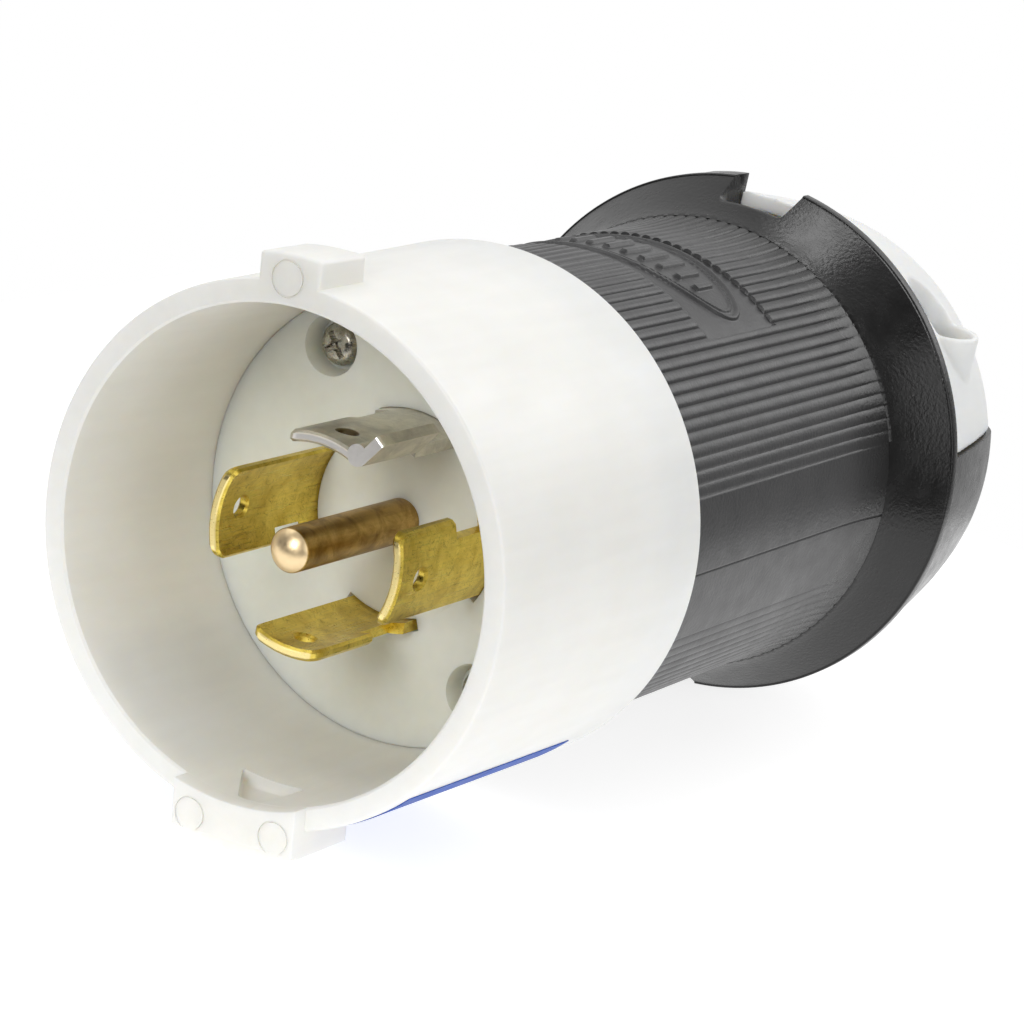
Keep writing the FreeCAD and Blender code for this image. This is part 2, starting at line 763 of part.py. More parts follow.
def make_jaw():
    """The loose upper jaw of the cord clamp, with a deep screw pocket on each side."""
    place = number("clamp_screw_place")
    side = number("clamp_screw_side")
    drop = -1.8
    low = number("parting_height + jaw_gap")
    wall = number("clamp_wall") - 0.4
    back = number("flange_back")
    hollow = dome("jaw_hollow", wall, "flange_back - 1", drop)
    mouth = rod("jaw_mouth", "13", "30", 0, number("rear_end") - 10, 0)
    shell = cut("jaw_shell", dome("jaw_dome", 0, "flange_back + 0.4", drop), [hollow, mouth])
    upper = block("jaw_upper", "90", "40", "60", 0, back, low)
    bosses = [rod(f"jaw_boss_{i}", "5.7", "15.5", x, place, low, "z") for i, x in enumerate((-side, side))]
    bosses = [
        rounded(f"jaw_boss_round_{i}", boss, lambda e: e.CenterOfMass.z > low + 15, 0.9)
        for i, boss in enumerate(bosses)
    ]
    tongue = block("jaw_tongue", "29", "14", "34.2", 0, place - 7, 0.8)
    inside = common("jaw_tongue_cut", [tongue, dome("jaw_limit", 0, "flange_back + 0.4", drop)])
    body = joined("jaw_joined", [common("jaw_shell_upper", [shell, upper]), inside] + bosses)
    holes = [rod("jaw_channel", "cord_radius", "60", 0, back - 5, 0)]
    for i, x in enumerate((-side, side)):
        holes.append(rod(f"jaw_hole_{i}", "clamp_screw_radius + 0.2", "30", x, place, 0, "z"))
        holes.append(rod(f"jaw_pocket_{i}", "4.7", "30", x, place, low + 7.7, "z"))
        holes.append(cone(f"jaw_scoop_{i}", 4.6, 9.6, 16.0, x, place, low + 14.6, "z"))
    # The front edge is cut away round the housing's stop, over the whole of the jaw's travel.
    holes.append(block("jaw_rebate", "7.4", "3.3", "14", STOP_SIDE, back, 28))
    return keep("cord_clamp_jaw", cut("jaw_cut", body, holes))


# ------------------------------------------------------------------ fasteners and seal
def make_fasteners():
    screws = []
    nuts = []
    for i, angle in enumerate(SCREW_ANGLES):
        screw = machine_screw(f"assembly_screw_{i}", 2.1, 24.0, 3.0, 2.1, 0.9)
        screw.Placement = Placement(Vector(number("screw_circle"), SCREW_SEAT, 0), Rotation())
        screws.append(turned_to(screw, angle))
        front = number("body_front") + 15.05
        nut = cut(
            f"assembly_nut_{i}",
            hexagon(f"assembly_nut_{i}_blank", 7.0, 3.2, number("screw_circle"), front, 0),
            [rod(f"assembly_nut_{i}_hole", "2.15", "10", number("screw_circle"), front - 3, 0)],
        )
        nuts.append(turned_to(nut, angle))
    keep("assembly_screws", group("assembly_screw_set", screws))
    keep("assembly_nuts", group("assembly_nut_set", nuts))

    small = []
    for i, angle in enumerate(RETAINER_SCREW_ANGLES):
        screw = machine_screw(f"retainer_screw_{i}", 1.5, 15.0, 2.7, 1.6, 0.7)
        head_seat = number("core_end + retainer_thick") - 2.2
        place = Vector(RETAINER_SCREW_CIRCLE, head_seat, 0)
        screw.Placement = Placement(place, Rotation(Vector(1, 0, 0), 180))
        small.append(turned_to(screw, angle))
    keep("retainer_screws", group("retainer_screw_set", small))

    side = number("clamp_screw_side")
    place = number("clamp_screw_place")
    pocket_floor = number("parting_height + jaw_gap") + 7.7
    down = Rotation(Vector(1, 0, 0), -90)
    nuts = []
    for label, x in (("left", -side), ("right", side)):
        screw = machine_screw(f"clamp_screw_{label}_made", 2.1, 30.0, 4.0, 2.8, 1.1)
        screw.Placement = Placement(Vector(x, place, pocket_floor + 0.05), down)
        keep(f"clamp_screw_{label}", screw)
        bottom = number("parting_height") - 15.9
        blank = hexagon(f"clamp_nut_{label}_blank", 8.7, 3.4, x, place, bottom, "z")
        thread = rod(f"clamp_nut_{label}_hole", "2.2", "10", x, place, bottom - 3, "z")
        nuts.append(cut(f"clamp_nut_{label}", blank, [thread]))
    keep("clamp_nuts", group("clamp_nut_set", nuts))


def make_dust_shield():
    shield = turned(
        "shield_turned",
        [
            ("cord_radius - 0.5", "web_front - 2.1"),
            ("20", "web_front - 2.1"),
            ("20", "web_front - 0.05"),
            ("cord_radius + 2", "web_front - 0.05"),
            ("cord_radius + 2", "web_front - 1"),
            ("cord_radius - 0.5", "web_front - 1"),
        ],
    )
    return keep("dust_shield", shield)


# ------------------------------------------------------------------ build
make_shroud()
make_label()
make_core()
make_retainer()
make_contacts()
make_ground()
for contact in list(BLADES) + ["ground"]:
    make_terminal(contact, BLADES[contact][0] if contact in BLADES else GROUND_ANGLE)
make_housing()
make_jaw()
make_fasteners()
make_dust_shield()
doc.recompute()

for thing in doc.Objects:
    bad = {"Invalid", "Error"} & set(thing.State)
    assert not bad, f"{thing.Label} is {bad}"
for node, thing in kept:
    shape = thing.Shape
    assert not shape.isNull() and shape.isValid(), f"{node} has no valid shape"
    shape.exportStep(f"parts/{node}.step")
    box = shape.BoundBox
    corners = ((box.XMin, box.XMax), (box.YMin, box.YMax), (box.ZMin, box.ZMax))
    spans = ", ".join(f"{low:.1f} to {high:.1f}" for low, high in corners)
    print(f"{node:26s} solids {len(shape.Solids)}, volume {shape.Volume:9.1f}, {spans}")
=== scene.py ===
import json
import math

import bmesh
import bpy
import numpy as np
from mathutils import Matrix, Vector


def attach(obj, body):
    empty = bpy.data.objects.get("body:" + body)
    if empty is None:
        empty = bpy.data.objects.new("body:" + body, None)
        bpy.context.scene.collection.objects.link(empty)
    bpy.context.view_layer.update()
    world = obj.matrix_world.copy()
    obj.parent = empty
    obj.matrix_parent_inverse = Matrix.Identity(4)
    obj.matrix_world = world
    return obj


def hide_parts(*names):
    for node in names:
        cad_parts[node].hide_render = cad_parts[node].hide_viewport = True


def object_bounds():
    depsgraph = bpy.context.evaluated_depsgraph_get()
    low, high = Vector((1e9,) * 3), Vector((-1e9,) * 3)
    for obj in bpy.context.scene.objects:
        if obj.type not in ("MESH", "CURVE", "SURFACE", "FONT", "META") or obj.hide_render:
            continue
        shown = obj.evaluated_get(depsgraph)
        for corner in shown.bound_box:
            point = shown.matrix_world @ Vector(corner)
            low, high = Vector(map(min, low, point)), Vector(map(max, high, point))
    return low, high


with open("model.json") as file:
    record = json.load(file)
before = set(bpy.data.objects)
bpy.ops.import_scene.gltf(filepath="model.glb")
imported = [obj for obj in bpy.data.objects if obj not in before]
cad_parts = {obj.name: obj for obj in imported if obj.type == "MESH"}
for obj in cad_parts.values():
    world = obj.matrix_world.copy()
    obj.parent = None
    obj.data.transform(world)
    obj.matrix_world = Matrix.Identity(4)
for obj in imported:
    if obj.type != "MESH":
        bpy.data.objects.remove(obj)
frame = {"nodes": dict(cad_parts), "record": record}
CAD_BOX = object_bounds()
MM = 0.001

# ------------------------------------------------------------------ camera, lights, world
LENS = 126.6
SENSOR = 36.0
CAMERA_PLACE = (227.9, -393.3, 142.5)
CAMERA_FORWARD = (-0.45356, 0.84243, -0.29085)
CAMERA_UP = (-0.32359, 0.14841, 0.93448)

# Each lamp's place and target in metres, the side of its square, and its watts.
LAMPS = {
    "key": ((-0.50, -0.15, 0.68), (0, 0.0, 0), 0.6, 1.5),
    "fill": ((0.75, -0.20, 0.30), (0, 0.05, 0), 0.7, 2.8),
    "top": ((-0.02, 0.24, 0.85), (0, 0.05, 0), 0.3, 1.2),
    "front": ((0.04, -0.84, 0.34), (0, -0.02, 0), 0.4, 3.6),
    "rear": ((0.32, 0.70, 0.45), (0, 0.1, 0), 0.5, 1.4),
}

# Each is a direction's range and the strength at its two ends.
WORLD_SPREAD = {
    "X": (0.1, 0.6, 1.0, 0.25),
    "Y": (-0.8, 0.4, 0.0, 1.0),
    "Z": (-0.1, 0.9, 0.74, 0.95),
}


def look(position, forward, up):
    """A world matrix for something that looks along forward."""
    back = -Vector(forward).normalized()
    side = Vector(up).cross(back).normalized()
    rise = back.cross(side)
    matrix = Matrix((side, rise, back)).transposed().to_4x4()
    matrix.translation = position
    return matrix


def make_camera():
    data = bpy.data.cameras.new("camera")
    data.lens = LENS
    data.sensor_width = SENSOR
    data.clip_start = 0.01
    data.clip_end = 10.0
    camera = bpy.data.objects.new("camera", data)
    bpy.context.scene.collection.objects.link(camera)
    camera.matrix_world = look(Vector(CAMERA_PLACE) * MM, CAMERA_FORWARD, CAMERA_UP)
    bpy.context.scene.camera = camera


def make_lamps():
    for name, (place, target, side, power) in LAMPS.items():
        data = bpy.data.lights.new(name, "AREA")
        data.shape = "RECTANGLE"
        data.size, data.size_y = side, side
        data.energy = power
        lamp = bpy.data.objects.new(name, data)
        bpy.context.scene.collection.objects.link(lamp)
        aim = Vector(target) - Vector(place)
        lamp.matrix_world = look(Vector(place), aim, (0, 0, 1))


def make_world():
    """Soft light from all round, over a plain white background."""
    world = bpy.data.worlds.new("studio")
    bpy.context.scene.world = world
    world.use_nodes = True
    nodes, links = world.node_tree.nodes, world.node_tree.links
    lit = nodes["Background"]
    # The light falls off towards the right, as beside a dark studio wall, and grows upwards.
    axes = nodes.new("ShaderNodeSeparateXYZ")
    links.new(nodes.new("ShaderNodeTexCoord").outputs["Generated"], axes.inputs["Vector"])
    strength = None
    for axis, spread in WORLD_SPREAD.items():
        node = nodes.new("ShaderNodeMapRange")
        for socket, value in zip(("From Min", "From Max", "To Min", "To Max"), spread):
            node.inputs[socket].default_value = value
        links.new(axes.outputs[axis], node.inputs["Value"])
        level = node.outputs["Result"]
        if strength is not None:
            product = nodes.new("ShaderNodeMath")
            product.operation = "MULTIPLY"
            links.new(strength, product.inputs[0])
            links.new(level, product.inputs[1])
            level = product.outputs["Value"]
        strength = level
    links.new(strength, lit.inputs["Strength"])
    # The background itself stays plain white.
    plain = nodes.new("ShaderNodeBackground")
    plain.inputs["Strength"].default_value = 1.0
    for background in (lit, plain):
        background.inputs["Color"].default_value = (1.0, 1.0, 1.0, 1.0)
    mix = nodes.new("ShaderNodeMixShader")
    links.new(nodes.new("ShaderNodeLightPath").outputs["Is Camera Ray"], mix.inputs["Fac"])
    links.new(lit.outputs["Background"], mix.inputs[1])
    links.new(plain.outputs["Background"], mix.inputs[2])
    links.new(mix.outputs["Shader"], nodes["World Output"].inputs["Surface"])


# ------------------------------------------------------------------ materials


# The Mix node's colour sockets, by number because its float and vector ones share their names.
COLOUR_A, COLOUR_B, COLOUR_OUT = 6, 7, 2


class Shader:
    """A small wrapper that builds a node tree around one Principled shader."""

    def __init__(self, name):
        self.material = bpy.data.materials.new(name)
        self.material.use_nodes = True
        self.tree = self.material.node_tree
        self.nodes = self.tree.nodes
        self.bsdf = self.nodes["Principled BSDF"]
        self.place = self.add("ShaderNodeTexCoord").outputs["Object"]

    def add(self, kind, **settings):
        node = self.nodes.new(kind)
        for key, value in settings.items():
            setattr(node, key, value)
        return node

    def link(self, source, target):
        self.tree.links.new(source, target)

    def set(self, **values):
        for key, value in values.items():
            self.bsdf.inputs[key.replace("_", " ")].default_value = value

    def noise(self, scale, detail=2.0, rough=0.5, stretch=(1, 1, 1), distortion=0.0):
        """Noise whose features are about scale millimetres across."""
        mapping = self.add("ShaderNodeMapping")
        mapping.inputs["Scale"].default_value = [s / (scale * MM) for s in stretch]
        self.link(self.place, mapping.inputs["Vector"])
        node = self.add("ShaderNodeTexNoise")
        node.inputs["Scale"].default_value = 1.0
        node.inputs["Detail"].default_value = detail
        node.inputs["Roughness"].default_value = rough
        node.inputs["Distortion"].default_value = distortion
        self.link(mapping.outputs["Vector"], node.inputs["Vector"])
        return node.outputs["Fac"]

    def ramp(self, source, stops):
        """Turns a value into a colour by stops of (position, colour)."""
        node = self.add("ShaderNodeValToRGB")
        elements = node.color_ramp.elements
        while len(elements) < len(stops):
            elements.new(0.5)
        for element, (position, colour) in zip(elements, stops):
            element.position = position
            element.color = colour if len(colour) == 4 else (*colour, 1.0)
        self.link(source, node.inputs["Fac"])
        return node.outputs["Color"]

    def spread(self, source, low, high, start=0.0, end=1.0):
        """Maps start..end to low..high and holds the ends."""
        node = self.add("ShaderNodeMapRange")
        node.inputs["From Min"].default_value = start
        node.inputs["From Max"].default_value = end
        node.inputs["To Min"].default_value = low
        node.inputs["To Max"].default_value = high
        self.link(source, node.inputs["Value"])
        return node.outputs["Result"]

    def blend(self, factor, first, second, mode="MIX"):
        """Mixes two colours, each a socket or a plain value, by a factor of either kind."""
        node = self.add("ShaderNodeMix", data_type="RGBA", blend_type=mode)
        sockets = (node.inputs["Factor"], node.inputs[COLOUR_A], node.inputs[COLOUR_B])
        for socket, value in zip(sockets, (factor, first, second)):
            if hasattr(value, "is_output"):
                self.link(value, socket)
            else:
                socket.default_value = value
        return node.outputs[COLOUR_OUT]

    def along(self, axis):
        """The place along one axis, in metres."""
        axes = self.add("ShaderNodeSeparateXYZ")
        self.link(self.place, axes.inputs["Vector"])
        return axes.outputs[axis]

    def bump(self, height, strength, distance, below=None):
        node = self.add("ShaderNodeBump")
        node.inputs["Strength"].default_value = strength
        node.inputs["Distance"].default_value = distance * MM
        self.link(height, node.inputs["Height"])
        if below is not None:
            self.link(below, node.inputs["Normal"])
        self.link(node.outputs["Normal"], self.bsdf.inputs["Normal"])
        return node.outputs["Normal"]


NYLON_ROUGHNESS = (0.34, 0.46)
NYLON_SCATTER = (1.0, 0.85, 0.65)
NYLON_DEPTH = 0.005


def nylon(name, light, dark, scatter):
    """Natural white nylon: slightly translucent, with faint clouds and flow marks."""
    s = Shader(name)
    clouds = s.noise(14.0, detail=4.0)
    streaks = s.noise(2.2, detail=3.0, stretch=(1.0, 0.12, 1.0))
    tint = s.ramp(clouds, [(0.35, dark), (0.65, light)])
    shade = s.ramp(streaks, [(0.3, (0.965, 0.965, 0.96)), (0.7, (1.0, 1.0, 1.0))])
    colour = s.blend(0.8, tint, shade, "MULTIPLY")
    s.link(colour, s.bsdf.inputs["Base Color"])
    rough = s.spread(s.noise(5.0, detail=3.0), *NYLON_ROUGHNESS, 0.3, 0.7)
    s.link(rough, s.bsdf.inputs["Roughness"])
    s.set(Subsurface_Weight=scatter, Subsurface_Scale=NYLON_DEPTH, IOR=1.5)
    s.set(Subsurface_Radius=NYLON_SCATTER)
    fine = s.bump(s.noise(0.5, detail=3.0), 0.10, 0.05)
    s.bump(s.noise(9.0, detail=2.0), 0.25, 0.12, below=fine)
    return s.material


# The extra roughness of the barrel, and where along the axis the glossy surface and the painted
# shade towards the flange start, in metres.
MATT_BARREL = 0.10
POLISHED_AND_SHADED_FROM = (0.064, 0.0785)
BLACK_ROUGHNESS = (0.20, 0.30)
MATT_BLACK = ((0.033, 0.033, 0.034), (0.045, 0.0445, 0.045))
POLISHED_AND_SHADED_BLACK = ((0.0045, 0.0043, 0.0042), (0.008, 0.0078, 0.0078))
SPECK_GREY = (0.10, 0.10, 0.095, 1.0)


def black_nylon(name):
    """Black nylon, moulded with a leather-like texture."""
    s = Shader(name)
    # The ribbed barrel is greyer and more matt than the glossy flange and rear; towards the flange
    # the ribs also darken, as painted shade for the dark flange they reflect.
    behind = s.spread(s.along("Y"), 0.0, 1.0, *POLISHED_AND_SHADED_FROM)
    clouds = s.noise(6.0, detail=4.0)
    matt = s.ramp(clouds, [(0.3, MATT_BLACK[0]), (0.7, MATT_BLACK[1])])
    polished_and_shaded = s.ramp(clouds, [(0.3, POLISHED_AND_SHADED_BLACK[0]), (0.7, POLISHED_AND_SHADED_BLACK[1])])
    base = s.blend(behind, matt, polished_and_shaded)
    specks = s.ramp(s.noise(0.45, detail=1.0), [(0.80, (0.0, 0.0, 0.0)), (0.84, (1.0, 1.0, 1.0))])
    colour = s.blend(specks, base, SPECK_GREY)
    s.link(colour, s.bsdf.inputs["Base Color"])
    rough = s.add("ShaderNodeMath", operation="ADD")
    s.link(s.spread(s.noise(3.0, detail=4.0), *BLACK_ROUGHNESS, 0.3, 0.7), rough.inputs[0])
    s.link(s.spread(behind, MATT_BARREL, 0.0), rough.inputs[1])
    s.link(rough.outputs["Value"], s.bsdf.inputs["Roughness"])
    s.set(IOR=1.46)
    grain = s.bump(s.noise(0.35, detail=2.0), 0.35, 0.03)
    s.bump(s.noise(0.6, detail=2.5, rough=0.55), 0.8, 0.06, below=grain)
    return s.material


# The distance from a hole's middle over which the painted shade on its wall gives way to the face,
# in metres.
HOLE_WALL = (0.00160, 0.00178)
HOLE_PAINTED_SHADE = (0.13, 0.10, 0.055, 1.0)
TIP_BLEND = 0.1
UNTOUCHED = (1.0, 1.0, 1.0)
GRAIN_SHADE = (0.72, 0.70, 0.66)
SCRATCH_SHADE = (0.42, 0.38, 0.30)
SCRATCH_HALF = 0.012


def metal(
    name,
    light,
    dark,
    roughness=(0.22, 0.42),
    wear=0.6,
    scratches=0.3,
    tip_highlight=None,
    tip_from=0.0,
    hole=None,
):
    """Rolled or plated metal: tarnish clouds, drawn grain and fine scratches.

    In front of tip_from the colour is a painted highlight; a hole's wall is painted dark as shade.
    """
    s = Shader(name)
    s.set(Metallic=1.0)
    clouds = s.noise(3.5, detail=6.0, rough=0.62, distortion=0.6)
    lines = s.noise(0.35, detail=4.0, stretch=(1.0, 0.06, 1.0))
    tint = s.ramp(clouds, [(0.32, dark), (0.62, light)])
    shade = s.ramp(lines, [(0.30, GRAIN_SHADE), (0.62, UNTOUCHED)])
    colour = s.blend(wear, tint, shade, "MULTIPLY")
    # Thin dark scratches run where a distorted noise crosses its middle level.
    crossing = s.noise(2.6, detail=5.0, rough=0.55, distortion=1.6)
    stops = [(0.5 - SCRATCH_HALF, UNTOUCHED), (0.5, SCRATCH_SHADE), (0.5 + SCRATCH_HALF, UNTOUCHED)]
    colour = s.blend(scratches, colour, s.ramp(crossing, stops), "MULTIPLY")
    if hole:
        # Painted shade: the hole's wall is darkened near its middle, in place of the shade inside
        # the hole.
        gap = s.add("ShaderNodeVectorMath", operation="DISTANCE")
        s.link(s.place, gap.inputs[0])
        gap.inputs[1].default_value = [value * MM for value in hole]
        inside = s.spread(gap.outputs["Value"], 1.0, 0.0, *HOLE_WALL)
        colour = s.blend(inside, colour, HOLE_PAINTED_SHADE)
    # Painted highlight: the tip in front of tip_from gets a lighter colour, standing in for the
    # light on its front.
    if tip_highlight:
        front = s.spread(s.along("Y"), 1.0, 0.0, (tip_from - TIP_BLEND) * MM, tip_from * MM)
        colour = s.blend(front, colour, (*tip_highlight, 1.0))
    s.link(colour, s.bsdf.inputs["Base Color"])
    s.link(s.spread(lines, *roughness, 0.25, 0.75), s.bsdf.inputs["Roughness"])
    s.bump(lines, 0.25, 0.02)
    return s.material


def label_film(name):
    """Thin blue film with a satin surface."""
    s = Shader(name)
    blue = s.ramp(s.noise(8.0), [(0.3, (0.014, 0.070, 0.38)), (0.7, (0.020, 0.095, 0.45))])
    s.link(blue, s.bsdf.inputs["Base Color"])
    s.link(s.spread(s.noise(2.0), 0.45, 0.60, 0.3, 0.7), s.bsdf.inputs["Roughness"])
    s.set(IOR=1.33)
    s.bump(s.noise(1.5), 0.2, 0.02)
    return s.material


def rubber(name):
    """Dull black rubber with a faint bloom."""
    s = Shader(name)
    clouds = s.noise(4.0, detail=4.0)
    black = s.ramp(clouds, [(0.3, (0.010, 0.010, 0.010)), (0.7, (0.022, 0.022, 0.021))])
    s.link(black, s.bsdf.inputs["Base Color"])
    s.link(s.spread(s.noise(1.0), 0.6, 0.8, 0.3, 0.7), s.bsdf.inputs["Roughness"])
    s.bump(s.noise(0.6), 0.3, 0.05)
    return s.material


# Where the painted highlights on the blades' and the pin's tips start, and the middle of the painted
# shade in the neutral's hole.
BLADE_EDGE = -22.5
PIN_DOME = -25.7
BLADE_HOLE = (0.0, -17.7, 14.2)

MATERIALS = {
    "shroud_nylon": nylon("shroud_nylon", (0.88, 0.875, 0.845), (0.85, 0.845, 0.81), 0.5),
    "label_film": label_film("label_film"),
    "carrier_nylon": nylon("carrier_nylon", (0.87, 0.87, 0.79), (0.83, 0.835, 0.745), 0.6),
    "contact_brass": metal(
        "contact_brass",
        (0.86, 0.67, 0.13),
        (0.62, 0.44, 0.06),
        scratches=0.8,
        tip_highlight=(1.0, 0.82, 0.36),
        tip_from=BLADE_EDGE,
    ),
    "contact_nickel": metal(
        "contact_nickel",
        (0.72, 0.68, 0.58),
        (0.50, 0.47, 0.40),
        roughness=(0.28, 0.44),
        wear=0.35,
        scratches=0.2,
        tip_highlight=(1.0, 0.97, 0.93),
        tip_from=BLADE_EDGE,
        hole=BLADE_HOLE,
    ),
    "pin_brass": metal(
        "pin_brass",
        (0.56, 0.36, 0.11),
        (0.22, 0.12, 0.02),
        roughness=(0.30, 0.46),
        tip_highlight=(0.93, 0.72, 0.43),
        tip_from=PIN_DOME,
    ),
    "housing_nylon": black_nylon("housing_nylon"),
    "jaw_nylon": nylon("jaw_nylon", (0.90, 0.90, 0.885), (0.87, 0.875, 0.855), 0.5),
    "screw_nickel": metal("screw_nickel", (0.58, 0.56, 0.50), (0.30, 0.28, 0.24), (0.16, 0.34)),
    "screw_zinc": metal("screw_zinc", (0.66, 0.70, 0.69), (0.52, 0.56, 0.55), (0.15, 0.3)),
    "terminal_steel": metal("terminal_steel", (0.62, 0.62, 0.60), (0.50, 0.50, 0.48)),
    "screw_brass": metal("screw_brass", (0.80, 0.62, 0.30), (0.62, 0.44, 0.18)),
    "screw_silver": metal("screw_silver", (0.74, 0.74, 0.72), (0.58, 0.58, 0.56)),
    "screw_green": metal("screw_green", (0.10, 0.36, 0.17), (0.05, 0.22, 0.09)),
    "shield_rubber": rubber("shield_rubber"),
}

# ------------------------------------------------------------------ mesh helpers
MERGE = 1e-7


def polar(radius, angle, y):
    """A point at this angle round the axis, from +X towards +Z, in millimetres."""
    return (radius * math.cos(math.radians(angle)), y, radius * math.sin(math.radians(angle)))


def new_object(name, points, faces):
    """A mesh object from points in millimetres, with its faces turned outwards."""
    mesh = bpy.data.meshes.new(name)
    mesh.from_pydata([[c * MM for c in p] for p in points], [], faces)
    obj = bpy.data.objects.new(name, mesh)
    bpy.context.scene.collection.objects.link(obj)
    bm = bmesh.new()
    bm.from_mesh(mesh)
    bmesh.ops.remove_doubles(bm, verts=bm.verts, dist=MERGE)
    bmesh.ops.recalc_face_normals(bm, faces=bm.faces)
    bm.to_mesh(mesh)
    bm.free()
    return obj


def grid(rows, columns, close_rows, close_columns):
    """Quads over a rows by columns array of points stored row by row."""
    faces = []
    for i in range(rows if close_rows else rows - 1):
        for j in range(columns if close_columns else columns - 1):
            a, b = i, (i + 1) % rows
            c, d = j, (j + 1) % columns
            faces.append((a * columns + c, a * columns + d, b * columns + d, b * columns + c))
    return faces


def lathe(name, profile, columns):
    """A ring turned round the axis from a closed outline of (radius, y)."""
    points = []
    for radius, y in profile:
        for j in range(columns):
            points.append(polar(radius, 360.0 * j / columns, y))
    return new_object(name, points, grid(len(profile), columns, True, True))


def boss(name, outline, start, stop, columns):
    """A solid of revolution round the axis, from an open outline of (radius, y) with poles."""
    points = [(0, start, 0)]
    for radius, y in outline:
        for j in range(columns):
            points.append(polar(radius, 360.0 * j / columns, y))
    points.append((0, stop, 0))
    last = len(points) - 1
    faces = [(0, 1 + (j + 1) % columns, 1 + j) for j in range(columns)]
    for quad in grid(len(outline), columns, False, True):
        faces.append(tuple(v + 1 for v in quad))
    base = 1 + (len(outline) - 1) * columns
    faces += [(last, base + j, base + (j + 1) % columns) for j in range(columns)]
    return new_object(name, points, faces)


def prism(name, outline, low, high, axis="y"):
    """An outline of (u, v) pushed from low to high along an axis.

    Along y the outline lies in X and Z; along z it lies in X and Y.
    """
    order = {"y": (0, 2, 1), "z": (0, 1, 2)}[axis]
    points = []
    for level in (low, high):
        for u, v in outline:
            point = [0.0, 0.0, 0.0]
            point[order[0]], point[order[1]], point[order[2]] = u, v, level
            points.append(point)
    n = len(outline)
    faces = [tuple(range(n)), tuple(range(2 * n - 1, n - 1, -1))]
    faces += [(i, (i + 1) % n, n + (i + 1) % n, n + i) for i in range(n)]
    return new_object(name, points, faces)


def circle(radius, count=48, centre=(0.0, 0.0)):
    """Points of a circle, the first of them at +u."""
    points = []
    for i in range(count):
        angle = 2 * math.pi * i / count
        points.append((centre[0] + radius * math.cos(angle), centre[1] + radius * math.sin(angle)))
    return points


def box_outline(width, height, centre=(0.0, 0.0)):
    u, v = centre
    half_u, half_v = width / 2, height / 2
    corners = ((-1, -1), (1, -1), (1, 1), (-1, 1))
    return [(u + right * half_u, v + up * half_v) for right, up in corners]


def transform(obj, matrix):
    obj.data.transform(matrix)
    return obj


def turn(obj, angle):
    """Turns a mesh round the axis so that what was at +X is at this angle."""
    return transform(obj, Matrix.Rotation(math.radians(-angle), 4, "Y"))


def shift(obj, x=0.0, y=0.0, z=0.0):
    return transform(obj, Matrix.Translation(Vector((x, y, z)) * MM))


def apply_modifiers(obj):
    """Replaces the object's mesh by what its modifiers make of it."""
    graph = bpy.context.evaluated_depsgraph_get()
    mesh = bpy.data.meshes.new_from_object(obj.evaluated_get(graph))
    old = obj.data
    obj.modifiers.clear()
    obj.data = mesh
    bpy.data.meshes.remove(old)
    return obj


def drop(obj):
    """Deletes an object and its mesh."""
    mesh = obj.data
    bpy.data.objects.remove(obj)
    bpy.data.meshes.remove(mesh)


def combine(obj, others, operation):
    """Joins ("UNION"), cuts ("DIFFERENCE") or intersects with the other meshes."""
    for other in others:
        modifier = obj.modifiers.new("combine", "BOOLEAN")
        modifier.operation = operation
        modifier.solver = "EXACT"
        modifier.object = other
        apply_modifiers(obj)
        drop(other)
    return obj


BEVEL_ANGLE = 35.0


def bevelled(obj, width, segments=3):
    """Rounds the edges that are sharper than the bevel angle."""
    modifier = obj.modifiers.new("bevel", "BEVEL")
    modifier.width = width * MM
    modifier.segments = segments
    modifier.limit_method = "ANGLE"
    modifier.angle_limit = math.radians(BEVEL_ANGLE)
    modifier.harden_normals = False
    return apply_modifiers(obj)


def smooth(obj, angle):
    """Shades an object smoothly, but for its edges sharper than an angle."""
    for polygon in obj.data.polygons:
        polygon.use_smooth = True
    obj.data.set_sharp_from_angle(angle=math.radians(angle))


def moulded(obj, voxel, rounds):
    """Rounds every edge a little, as moulding does, by a fine remesh and some smoothing."""
    remesh = obj.modifiers.new("remesh", "REMESH")
    remesh.mode = "VOXEL"
    remesh.voxel_size = voxel * MM
    relax = obj.modifiers.new("relax", "SMOOTH")
    relax.iterations = rounds
    return apply_modifiers(obj)


def finish_piece(obj, body, material, node, angle):
    """Shades and paints a piece, and says which body it rides on and which node it replaces."""
    smooth(obj, angle)
    obj.data.materials.clear()
    obj.data.materials.append(MATERIALS[material])
    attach(obj, body)
    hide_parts(node)


# ------------------------------------------------------------------ shroud
# Lengths are in millimetres and angles in degrees from +X towards +Z from here on.
SCREW_ANGLES = (130.0, -50.0)
SCREW_CIRCLE = 25.0

RIM, SHROUD_END = -31.0, 17.6
RIM_EDGE, RIM_ROUND = 34.65, 0.4
SHROUD_EDGE, SHROUD_ROUND = 35.25, 0.5
SHROUD_OUTSIDE = [(35.2, -20), (35.4, -6), (35.6, 8)]
SHROUD_SHELF = [(33.3, SHROUD_END), (33.3, 9), (21.9, 9), (21.9, 6), (30.9, 6), (30.9, 0)]
SHROUD_INSIDE = [(31.3, -11), (31.65, -21), (31.98, RIM + 0.3)]

LUG_OUTER, LUG_BACK = 38.5, -21.0
SMALL_LUG_ANGLE, KEY_LUG_ANGLE = 97.3, -82.7
SMALL_LUG_WIDTH, KEY_LUG_WIDTH = 9.2, 18.8
SMALL_LUG_MARK = (35.35, 0.2)
KEY_LUG_MARKS = ((34.9, -6.6), (34.9, 6.4))
KEY_FRONT = -33.5
LEDGE_FROM, LEDGE_DEPTH = 37.0, 0.9
MARK_LINE, MARK_DEPTH = 0.22, 0.28

